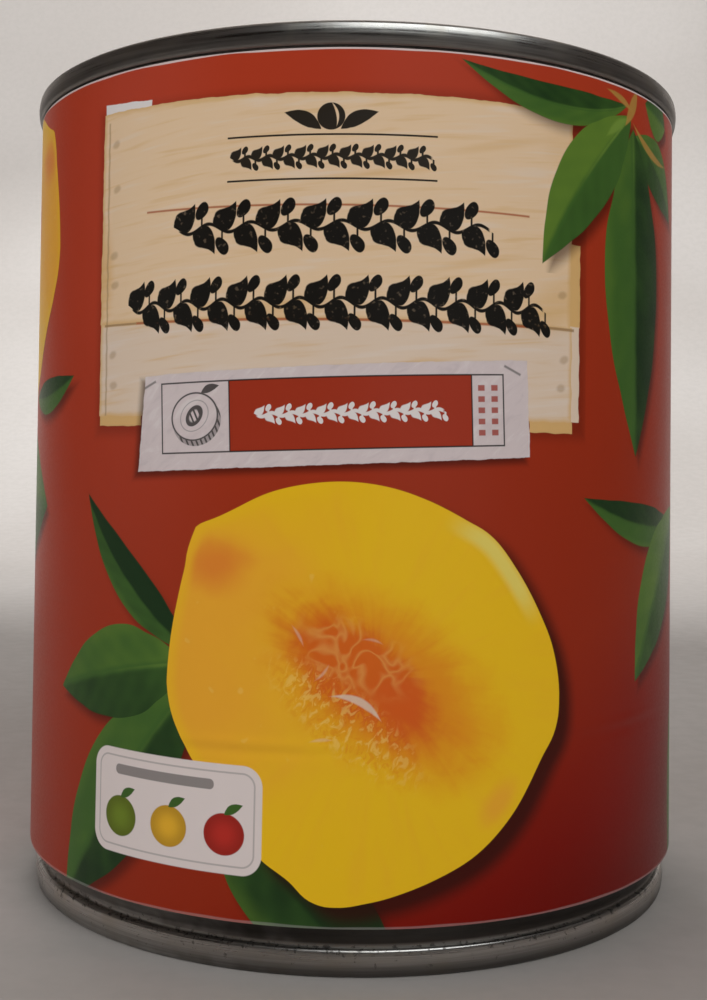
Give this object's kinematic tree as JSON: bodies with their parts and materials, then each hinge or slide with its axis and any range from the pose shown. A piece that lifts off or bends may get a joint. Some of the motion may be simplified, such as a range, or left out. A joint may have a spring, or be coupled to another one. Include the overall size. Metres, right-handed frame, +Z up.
{
  "type": "food can",
  "caption": "Shut steel food can with double-seamed recessed ends, a necked-in foot and a glued paper sleeve printed with a halved fruit, leaves and a wooden board.",
  "frame": {"origin": "middle of the lower rim, on the surface the can stands on", "axes": "+Z up along the can's axis; the middle of the label's picture faces -Y, and +X is to its right"},
  "size_m": [0.1008, 0.1008, 0.118],
  "materials": {
    "tinplate": "bright tinplate with fine rolling lines",
    "label_paper": "coated paper, satin print"
  },
  "bodies": {
    "root": {"can_body": "tinplate", "top_end": "tinplate", "bottom_end": "tinplate", "label": "label_paper"}
  },
  "joints": []
}
